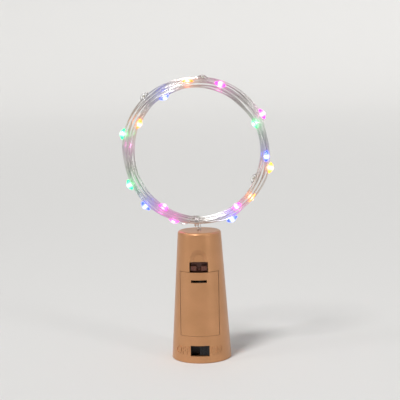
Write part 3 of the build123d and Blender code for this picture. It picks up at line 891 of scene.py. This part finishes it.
@dataclass
class Lights:
    """The drops of resin with their chips, each set where the string carries it. Sizes in millimetres."""

    spacing: float = 100.0
    loop_length: float = 168.1
    first_turn: float = 0.375
    tie_angle: float = 270.0
    turn_step: float = 0.006
    drop_length: float = 4.3
    drop_radius: float = 1.1
    neck_radius: float = 0.18
    fullness: float = 0.9
    most_lean: float = 0.12
    girths: tuple[float, float] = (0.93, 1.05)
    heart: float = 0.42
    offset: float = 0.32
    end_offset: float = 0.15
    chip_size: tuple[float, float, float] = (0.4, 0.7, 1.0)
    rings: int = 18
    sides: int = 20
    seed: int = 11
    lights: tuple[Light, ...] = (
        Light(133, 2.5, LightColour.ORANGE, False),
        Light(296, 2.3, LightColour.BLUE),
        Light(69, 0.6, LightColour.MAGENTA),
        Light(206, 2.3, LightColour.GREEN),
        Light(355, 0.4, LightColour.BLUE),
        Light(154, -2.0, LightColour.ORANGE),
        Light(304, -0.8, LightColour.MAGENTA),
        Light(84, 1.5, LightColour.GREEN, False),
        Light(226, 2.5, LightColour.BLUE),
        Light(346, 2.4, LightColour.YELLOW),
        Light(166, 2.6, LightColour.GREEN),
        Light(318, 0.5, LightColour.YELLOW),
        Light(96, 0.2, LightColour.ORANGE),
        Light(238, -1.4, LightColour.MAGENTA),
        Light(24, -1.4, LightColour.GREEN),
        Light(175, 0.3, LightColour.MAGENTA),
        Light(333, -2.4, LightColour.BLUE, False),
        Light(120, -2.4, LightColour.BLUE),
        Light(250, 1.5, LightColour.MAGENTA),
        Light(28, 2.5, LightColour.MAGENTA),
    )

    def turn(self, index: int) -> float:
        """Turns along the coil at which a light sits, near its even spacing.

        Args:
            index: The light's number along the string.

        Returns:
            The turns.
        """
        part_turn = ((self.tie_angle - self.lights[index].angle) / 360) % 1
        nominal = self.first_turn + index * self.spacing / self.loop_length
        return round(nominal - part_turn) + part_turn

    def pulls(self) -> list[tuple[float, float]]:
        """Where each light draws its loop to across the bundle: turns and millimetres outwards."""
        return [(self.turn(index), light.out) for index, light in enumerate(self.lights)]

    def place(self, route: WireRoute, index: int) -> Matrix:
        """Place of one light, with z along the wire and x away from the middle of the bundle.

        Args:
            route: The string's route.
            index: The light's number along the string.

        Returns:
            Its matrix in metres.
        """
        turn = self.turn(index)
        here = route.ring_point(turn) * MM
        ahead, behind = route.ring_point(turn + self.turn_step), route.ring_point(turn - self.turn_step)
        along = (ahead - behind).normalized()
        ring_angle = -math.pi / 2 - 2 * math.pi * turn
        radial = Vector((math.cos(ring_angle), 0, math.sin(ring_angle)))
        out, back = route.bundle_offset(turn)
        outwards = radial * out + Vector((0, back, 0))
        outwards = (outwards - along * outwards.dot(along)).normalized()
        across = along.cross(outwards)
        return Matrix.Translation(here) @ Matrix((outwards, across, along)).transposed().to_4x4()

    def drop(self, chance: random.Random) -> tuple[Points, Faces, list[float]]:
        """Shape of one drop: a fat middle that draws in to the strands at both ends.

        Args:
            chance: The source of the small differences between drops.

        Returns:
            Points in millimetres, faces, and how near each point is to the heart.
        """
        points, glow = [], []
        lean = chance.uniform(-self.most_lean, self.most_lean)
        girth = chance.uniform(*self.girths)
        for ring in range(self.rings + 1):
            share = math.sin((2 * ring / self.rings - 1) * math.pi / 2)
            leaned = share - lean * (1 - share * share)
            fullness = max(0.0, math.cos(math.pi / 2 * leaned)) ** self.fullness
            radius = self.neck_radius + (self.drop_radius * girth - self.neck_radius) * fullness
            middle = self.offset * (self.end_offset + (1 - self.end_offset) * fullness)
            for side in range(self.sides):
                angle = 2 * math.pi * side / self.sides
                x = middle + radius * math.cos(angle)
                points.append(Vector((x, radius * math.sin(angle), share * self.drop_length / 2)))
                glow.append(math.exp(-((share / self.heart) ** 2)))
        return points, tube_faces(self.rings + 1, self.sides), glow

    def chip(self) -> tuple[Points, Faces, list[float]]:
        """Shape of one chip: a small block on the wire's outer side.

        Returns:
            Points in millimetres, faces, and a full glow for each point.
        """
        depth, width, length = (size / 2 for size in self.chip_size)
        corners = [(x, y, z) for x in (-depth, depth) for y in (-width, width) for z in (-length, length)]
        points = [Vector((self.offset + x, y, z)) for x, y, z in corners]
        faces = [[0, 1, 3, 2], [4, 6, 7, 5], [0, 4, 5, 1], [2, 3, 7, 6], [0, 2, 6, 4], [1, 5, 7, 3]]
        return points, faces, [1.0] * len(points)

    def gather(self, route: WireRoute, colour: LightColour, chips: bool) -> Object:
        """Gather the drops or the chips of one colour into one piece.

        Args:
            route: The string's route.
            colour: The colour.
            chips: True for the chips, False for the drops.

        Returns:
            The piece.
        """
        chance = random.Random(self.seed + len(colour.name))
        points, faces, glow, lit = [], [], [], []
        for index, light in enumerate(self.lights):
            if light.colour is not colour:
                continue
            shape, sides, near = self.chip() if chips else self.drop(chance)
            place = self.place(route, index)
            faces += [[len(points) + corner for corner in face] for face in sides]
            points += [place @ (point * MM) for point in shape]
            glow += near
            lit += [float(light.lit)] * len(shape)
        finish = colour.chip() if chips else colour.resin()
        kind = "light_chips" if chips else "light_beads"
        name = f"{'chips' if chips else 'resin_drops'}_{colour.name.lower()}"
        piece = make_mesh(name, points, faces, finish)
        for map_name, values in (("glow", glow), ("lit", lit)):
            attribute = piece.data.attributes.new(map_name, "FLOAT", "POINT")
            attribute.data.foreach_set("value", values)
        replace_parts(piece, f"{kind}_{colour.name.lower()}")
        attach(piece, "casing")
        report(piece, "set along the string")
        return piece

    def spots(self, route: WireRoute) -> list[tuple[Vector, str]]:
        """Place and colour of each drop whose light is on."""
        lit = [(index, light) for index, light in enumerate(self.lights) if light.lit]
        return [(self.place(route, index).translation, light.colour.value) for index, light in lit]

    def build(self, route: WireRoute) -> list[Object]:
        """Build every drop and chip along a route, a piece for each colour."""
        return [self.gather(route, colour, chips) for colour in LightColour for chips in (False, True)]


@dataclass
class RaisedWord:
    """A word moulded proud of the casing beside the switch. Sizes in millimetres, angles in degrees."""

    text: str
    start_angle: float
    end_angle: float
    height: float = 3.2
    centre_height: float = 4.87
    proud: float = 0.16
    sunk: float = 0.12
    weight: float = 0.012
    curve_steps: int = 5
    slices: int = 24
    slice_width: float = 0.06

    def flat_mesh(self) -> Mesh:
        """Make the word flat, at the size that its letters come in.

        Returns:
            A mesh that lies in the XY plane with its thickness along Z.
        """
        curve = bpy.data.curves.new(self.text, "FONT")
        curve.body = self.text
        curve.align_x = "CENTER"
        curve.align_y = "CENTER"
        # Any thickness does here, because build sets how far each side lies from the casing.
        curve.extrude = 0.5
        curve.offset = self.weight
        curve.resolution_u = self.curve_steps
        return curve_mesh(curve)

    def build(self, foot_radius: float, taper: float) -> None:
        """Bend the word round the casing.

        Args:
            foot_radius: Outer radius of the casing at its foot.
            taper: How much the radius shrinks per millimetre of height.
        """
        mesh = self.flat_mesh()
        word = bmesh.new()
        word.from_mesh(mesh)
        for step in range(-self.slices, self.slices + 1):
            cut = word.verts[:] + word.edges[:] + word.faces[:]
            middle = (step * self.slice_width, 0, 0)
            bmesh.ops.bisect_plane(word, geom=cut, plane_co=middle, plane_no=(1, 0, 0))
        xs = [v.co.x for v in word.verts]
        ys = [v.co.y for v in word.verts]
        middle_x, middle_y = (min(xs) + max(xs)) / 2, (min(ys) + max(ys)) / 2
        for vertex in word.verts:
            share = (vertex.co.x - middle_x) / (max(xs) - min(xs)) + 0.5
            angle = math.radians(self.start_angle + (self.end_angle - self.start_angle) * share)
            height = self.centre_height + (vertex.co.y - middle_y) / (max(ys) - min(ys)) * self.height
            surface = foot_radius - taper * height
            radius = surface + (self.proud if vertex.co.z > 0 else -self.sunk)
            vertex.co = Vector((radius * math.sin(angle), -radius * math.cos(angle), height)) * MM
        bmesh.ops.recalc_face_normals(word, faces=word.faces[:])
        word.to_mesh(mesh)
        word.free()
        mesh.materials.append(TAN_LACQUER.material())
        piece = stand(f"raised_word_{self.text.lower()}", mesh)
        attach(piece, "casing")
        report(piece, "raised beside the switch")


@dataclass
class Casing:
    """The tapered housing with its base and the words beside the switch. Sizes in millimetres."""

    base_radius: float = 11.8
    nose_radius: float = 8.5
    height: float = 51.0
    words: tuple[tuple[str, float, float], ...] = (("OFF", -55, -21), ("ON", 23, 47))

    def build(self) -> None:
        """Dress the shell and base, and raise the words."""
        dress_nodes(TAN_LACQUER, "cork_shell", "base_cap")
        dress_nodes(HOT_MELT, "glue_plug")
        for word in self.words:
            RaisedWord(*word).build(self.base_radius, (self.base_radius - self.nose_radius) / self.height)


@dataclass
class BatteryDoor:
    """The curved door with its moulded spring latch. Sizes in millimetres."""

    flex_low: float = 34.6
    flex_high: float = 36.5
    bevel_foot: float = 35.1
    bevel_height: float = 0.6
    bevel_inside: float = 8.33
    bevel_outside: float = 9.34
    corner_angle: float = 17.0
    press: float = 1.0
    clearance: float = 0.05

    def bend(self) -> None:
        """Build the half round, which flexes between the door and the pressed tongue."""
        piece = copy_node("latch_bend", "latch_half_round", OVERSPRAY_AND_SHADE)
        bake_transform(piece)
        report(piece, "flexes with the latch")

    def tongue(self) -> None:
        """Build the tongue, whose lip's lower corners are cut back to pass the door's bevelled edge."""
        cuts = []
        for outwards in (facing(-self.corner_angle), facing(self.corner_angle)):
            normal = outwards * self.bevel_height - Vector((0, 0, self.bevel_outside - self.bevel_inside))
            normal.normalize()
            foot = outwards * self.bevel_inside + Vector((0, 0, self.bevel_foot + self.press))
            cuts.append((foot - normal * self.clearance, normal))
        piece = copy_node("latch_tongue", "latch_lip_and_catch", OVERSPRAY_AND_SHADE, tuple(cuts))
        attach(piece, "latch")
        report(piece, "lip corners cut back")

    def build(self) -> None:
        """Dress the door and build its latch."""
        dress_nodes(TAN_LACQUER, "battery_door")
        self.bend()
        self.tongue()


@dataclass
class PowerCompartment:
    """Tray, cells, contacts and the spring under the lowest cell. Sizes in millimetres."""

    axis_front: float = 0.9
    spring_foot: float = 12.6
    spring_rise: float = 2.0
    spring_turns: int = 3
    spring_points: int = 40
    wide_radius: float = 4.0
    narrow_radius: float = 2.2
    wire_radius: float = 0.2
    wire_sides: int = 12
    cell_radius: float = 5.8
    cell_height: float = 5.4
    cell_count: int = 3
    stack_foot: float = 14.8
    cap_radius: float = 4.5
    lip: float = 0.35
    seal_gap: float = 0.01
    seal_inset: float = 0.45
    seal_below: float = 0.08
    seal_above: float = 0.05
    seal_sides: int = 64

    def spring(self) -> None:
        """Build the round-wire conical spring in place of the CAD one."""
        path = []
        steps = self.spring_turns * self.spring_points
        for step in range(steps + 1):
            share = step / steps
            radius = self.wide_radius + (self.narrow_radius - self.wide_radius) * share
            height = self.spring_foot + self.spring_rise * share
            path.append(around(radius, self.spring_turns * share, height, -self.axis_front) * MM)
        tube = Tube(self.wire_sides)
        tube.sweep(path, [self.wire_radius * MM] * len(path))
        piece = make_mesh("spring_wire", tube.points, tube.faces, NICKEL_STEEL)
        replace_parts(piece, "contact_spring")
        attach(piece, "casing")
        report(piece, "wound")

    def seal(self, level: int) -> None:
        """Build the sealing ring between a cell's can and its cap.

        Args:
            level: The cell's place in the stack, from 0 at the bottom.
        """
        lip = self.stack_foot + level * self.cell_height + self.lip
        inner, outer = self.cap_radius + self.seal_gap, self.cell_radius - self.seal_inset
        low, high = lip - self.seal_below, lip + self.seal_above
        outline = ((inner, low), (outer, low), (outer, high), (inner, high))
        points, faces = [], []
        for side in range(self.seal_sides):
            here, after = side * len(outline), (side + 1) % self.seal_sides * len(outline)
            for edge, (radius, height) in enumerate(outline):
                points.append(around(radius, side / self.seal_sides, height, -self.axis_front) * MM)
                beyond = (edge + 1) % len(outline)
                faces.append([here + edge, after + edge, after + beyond, here + beyond])
        piece = make_mesh(f"cell_seal_{level}", points, faces, CELL_NYLON, smooth=False)
        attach(piece, "casing")
        report(piece, "sealing ring")

    def build(self) -> None:
        """Dress the tray, cells and contacts, and build the spring and seals."""
        dress_nodes(BLACK_ABS, "battery_tray")
        dress_nodes(NICKEL_STEEL, "button_cell_lower", "button_cell_middle", "button_cell_upper")
        dress_nodes(NICKEL_STEEL, "positive_contact", "negative_contact")
        self.spring()
        for level in range(self.cell_count):
            self.seal(level)


@dataclass
class SwitchBoard:
    """The small board with the switch, the resistor and the wires inside. Sizes in millimetres.

    A solder place is how far to the side and how high it is, and its foot's radius and its height.
    """

    board_back: float = 2.001
    lead_back: float = 6.9
    lead_board_height: float = 3.0
    lead_radius: float = 0.5
    lead_side: float = 3.0
    red_top: float = 31.0
    black_top: float = 12.1
    bend: float = 2.0
    bend_steps: int = 8
    wire_sides: int = 12
    tail_side: float = 0.45
    tail_back: float = 7.503
    tail_foot: float = 8.6
    tail_top: float = 44.0
    tail_end: float = 49.4
    tail_radius: float = 0.15
    solder_places: tuple[tuple[float, float, float, float], ...] = (
        (-2.5, 4.87, 0.75, 0.6),
        (0.0, 4.87, 0.75, 0.6),
        (2.5, 4.87, 0.75, 0.6),
        (-4.175, 4.87, 0.6, 0.25),
        (4.175, 4.87, 0.6, 0.25),
        (-3.0, 3.0, 0.8, 0.45),
        (3.0, 3.0, 0.8, 0.45),
        (-0.45, 8.6, 0.4, 0.3),
        (0.45, 8.6, 0.4, 0.3),
        (-2.35, 7.1, 0.55, 0.4),
        (2.35, 7.1, 0.55, 0.4),
    )
    solder_narrowing: float = 0.55
    solder_steps: int = 6
    solder_sides: int = 20
    resistor_front: float = 1.101
    resistor_height: float = 7.1
    resistor_radius: float = 0.8
    band_width: float = 0.28
    band_proud: float = 0.015
    band_sides: int = 32
    brown_bands: tuple[float, ...] = (-1.1, -0.55, 0.0)
    gold_bands: tuple[float, ...] = (1.05,)

    def rounded(self, corners: Points) -> Points:
        """Round the corners of a run of wire.

        Args:
            corners: The run's corners in millimetres.

        Returns:
            Points along the rounded run, in metres.
        """
        run = [corners[0]]
        for before, corner, after in zip(corners, corners[1:], corners[2:]):
            start = corner + (before - corner).normalized() * self.bend
            end = corner + (after - corner).normalized() * self.bend
            middle = start + end - corner
            for step in range(self.bend_steps + 1):
                angle = math.pi / 2 * step / self.bend_steps
                run.append(middle + (corner - end) * math.sin(angle) + (corner - start) * math.cos(angle))
        run.append(corners[-1])
        return [place * MM for place in run]

    def wires(
        self, name: str, node: str, runs: list[Points], radius: float, finish: Finish
    ) -> None:
        """Build round wires in place of a CAD node.

        Args:
            name: The piece's name.
            node: The CAD node that it replaces.
            runs: The corners of each wire.
            radius: The wires' radius.
            finish: Their finish.
        """
        tube = Tube(self.wire_sides)
        for run in runs:
            path = self.rounded(run)
            tube.sweep(path, [radius * MM] * len(path))
        piece = make_mesh(name, tube.points, tube.faces, finish)
        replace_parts(piece, node)
        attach(piece, "casing")
        report(piece, "wired")

    def leads(self) -> None:
        """Run the two leads from the contacts down to the board, in from behind."""
        for colour, x, top, finish in (
            ("red", -self.lead_side, self.red_top, RED_PVC),
            ("black", self.lead_side, self.black_top, BLACK_PVC),
        ):
            run = [
                Vector((x, self.lead_back, top)),
                Vector((x, self.lead_back, self.lead_board_height)),
                Vector((x, -self.board_back, self.lead_board_height)),
            ]
            self.wires(f"lead_{colour}_wire", f"lead_{colour}", [run], self.lead_radius, finish)

    def tails(self) -> None:
        """Run the string's own two wires from the board up the back to the hole in the top."""
        corners = (
            (-self.board_back, self.tail_foot),
            (self.tail_back, self.tail_foot),
            (self.tail_back, self.tail_top),
            (0, self.tail_top),
            (0, self.tail_end),
        )
        runs = [[Vector((side, *corner)) for corner in corners] for side in (-self.tail_side, self.tail_side)]
        self.wires("tail_wires", "string_tail_wires", runs, self.tail_radius, SILVER_WIRE)

    def solder(self) -> None:
        """Build the solder joints on the back of the board."""
        tube = Tube(self.solder_sides)
        for side, height, foot, rise in self.solder_places:
            path, radii = [], []
            for step in range(self.solder_steps + 1):
                share = step / self.solder_steps
                path.append(Vector((side, rise * share - self.board_back, height)) * MM)
                radii.append(foot * (1 - self.solder_narrowing * math.sin(math.pi / 2 * share)) * MM)
            tube.sweep(path, radii)
        piece = make_mesh("solder_joints", tube.points, tube.faces, SOLDER)
        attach(piece, "casing")
        report(piece, "wetted round each wire and tab")

    def bands(self) -> None:
        """Build the resistor's printed colour bands."""
        radii = [(self.resistor_radius + self.band_proud) * MM] * 2
        for name, places, finish in (
            ("brown", self.brown_bands, BAND_BROWN),
            ("gold", self.gold_bands, BAND_GOLD),
        ):
            tube = Tube(self.band_sides)
            for place in places:
                ends = (place - self.band_width / 2, place + self.band_width / 2)
                path = [Vector((end, -self.resistor_front, self.resistor_height)) * MM for end in ends]
                tube.sweep(path, radii)
            piece = make_mesh(f"resistor_bands_{name}", tube.points, tube.faces, finish, smooth=False)
            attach(piece, "casing")
            report(piece, "printed round the body")

    def build(self) -> None:
        """Dress the board and switch, and run the wires."""
        dress_nodes(GREEN_RESIST, "circuit_board")
        dress_nodes(TINNED_STEEL, "switch_can")
        dress_nodes(BLACK_ABS, "switch_base")
        dress_nodes(TINNED_BRASS, "switch_terminals", "switch_wiper")
        dress_nodes(BLACK_ACETAL, "switch_knob")
        dress_nodes(TAN_CERAMIC, "current_resistor")
        self.leads()
        self.tails()
        self.solder()
        self.bands()


@dataclass
class Studio:
    """Camera, floor and soft light. Sizes in metres, angles in degrees."""

    azimuth: float = 3.5
    elevation: float = 7.8
    distance: float = 0.47
    lens: float = 107.5
    sensor_width: float = 36.0
    roll: float = -1.24
    aim: tuple[float, float, float] = (0.00055, 0.0, 0.063)
    sun_tilt: tuple[float, float] = (38, -30)
    sun_softness: float = 16
    sun_strength: float = 2.2
    lamp_distance: float = 0.7
    lamp_spread: float = 70.0
    floor_reaches: tuple[float, ...] = (0.0001, 0.5, 1.0)
    floor_reach: float = 1.6
    floor_sides: int = 96
    sweep_radius: float = 0.9
    sweep_steps: int = 16
    backdrop_height: float = 1.8
    room_colour: str = "#F2F3F5"
    room_strength: float = 0.34
    backdrop_colour: str = "#E4E3E1"

    def camera(self) -> None:
        """Set the camera where the photograph was taken from."""
        data = bpy.data.cameras.new("camera")
        data.lens = self.lens
        data.sensor_width = self.sensor_width
        camera = stand("camera", data)
        towards = facing(self.azimuth, self.elevation)
        roll = Matrix.Rotation(math.radians(self.roll), 3, "Z")
        turned = (-towards).to_track_quat("-Z", "Y").to_matrix() @ roll
        place = Vector(self.aim) + towards * self.distance
        camera.matrix_world = Matrix.Translation(place) @ turned.to_4x4()
        bpy.context.scene.camera = camera

    def sun(self) -> None:
        """Light the floor and the object evenly from one side, with soft shadows."""
        data = bpy.data.lights.new("daylight", "SUN")
        data.angle = math.radians(self.sun_softness)
        data.energy = self.sun_strength
        forwards, sideways = (math.radians(angle) for angle in self.sun_tilt)
        stand("daylight", data).rotation_euler = (forwards, 0, sideways)

    def lamp(self, name: str, azimuth: float, rise: float, size: tuple[float, float], power: float) -> None:
        """Hang a soft lamp that looks at the object.

        Args:
            name: The lamp's name.
            azimuth: Its angle round from the front, positive to the right.
            rise: Its angle above the floor.
            size: Its width and height.
            power: Its power, in watts.
        """
        data = bpy.data.lights.new(name, "AREA")
        data.shape = "RECTANGLE"
        data.size, data.size_y = size
        data.spread = math.radians(self.lamp_spread)
        data.energy = power
        lamp = stand(name, data)
        towards = facing(azimuth, rise)
        lamp.location = Vector(self.aim) + towards * self.lamp_distance
        lamp.rotation_euler = (-towards).to_track_quat("-Z", "Y").to_euler()

    def floor(self) -> None:
        """Lay a plain pale floor whose far rim sweeps up all round, so that no horizon shows."""
        profile = [(reach, 0.0) for reach in self.floor_reaches]
        for step in range(self.sweep_steps + 1):
            angle = math.pi / 2 * step / self.sweep_steps
            reach = self.floor_reach + self.sweep_radius * math.sin(angle)
            profile.append((reach, self.sweep_radius * (1 - math.cos(angle))))
        profile.append((self.floor_reach + self.sweep_radius, self.backdrop_height))
        shares = [side / self.floor_sides for side in range(self.floor_sides)]
        points = [around(reach, share, height) for reach, height in profile for share in shares]
        wall = tube_faces(len(profile), self.floor_sides)[:-2]
        # Each face is turned over, so that the paper's upper side looks up and inwards.
        floor = make_mesh("floor", points, [[face[0], *face[:0:-1]] for face in wall], PAPER)

    def world(self) -> None:
        """Light the room evenly, and show a pale background beyond the floor."""
        world = bpy.data.worlds.new("room")
        world.use_nodes = True
        tree = world.node_tree
        tree.nodes.clear()
        light = {"Color": linear(self.room_colour), "Strength": self.room_strength}
        room = add_node(tree, "ShaderNodeBackground", light)
        pale = {"Color": linear(self.backdrop_colour), "Strength": 1.0}
        seen = add_node(tree, "ShaderNodeBackground", pale)
        rays = add_node(tree, "ShaderNodeLightPath").outputs
        shown = rays["Is Camera Ray"]
        for kind in ("Is Glossy Ray", "Is Transmission Ray"):
            either = {0: shown, 1: rays[kind]}
            shown = add_node(tree, "ShaderNodeMath", either, operation="MAXIMUM").outputs[0]
        mixed = add_node(tree, "ShaderNodeMixShader", {0: shown, 1: room.outputs[0], 2: seen.outputs[0]})
        add_node(tree, "ShaderNodeOutputWorld", {"Surface": mixed.outputs[0]})
        bpy.context.scene.world = world

    def build(self) -> None:
        """Set up the whole studio."""
        bpy.context.scene.view_settings.view_transform = "Standard"
        self.camera()
        self.world()
        self.floor()
        self.sun()
        self.lamp("strip_left", -68, 18, (0.12, 0.36), 0.1)
        self.lamp("strip_right", 48, 18, (0.1, 0.36), 0.13)


def main() -> None:
    """Build the scene."""
    logging.basicConfig(level=logging.INFO, format="%(message)s")
    Studio().build()
    lights = Lights()
    string = LightString(WireRoute(pulls=lights.pulls()))
    wire = string.build()
    string.paint_stray_light(wire, lights.spots(string.route))
    string.declare(lights.build(string.route))
    Casing().build()
    BatteryDoor().build()
    PowerCompartment().build()
    SwitchBoard().build()


if __name__ == "__main__":
    main()
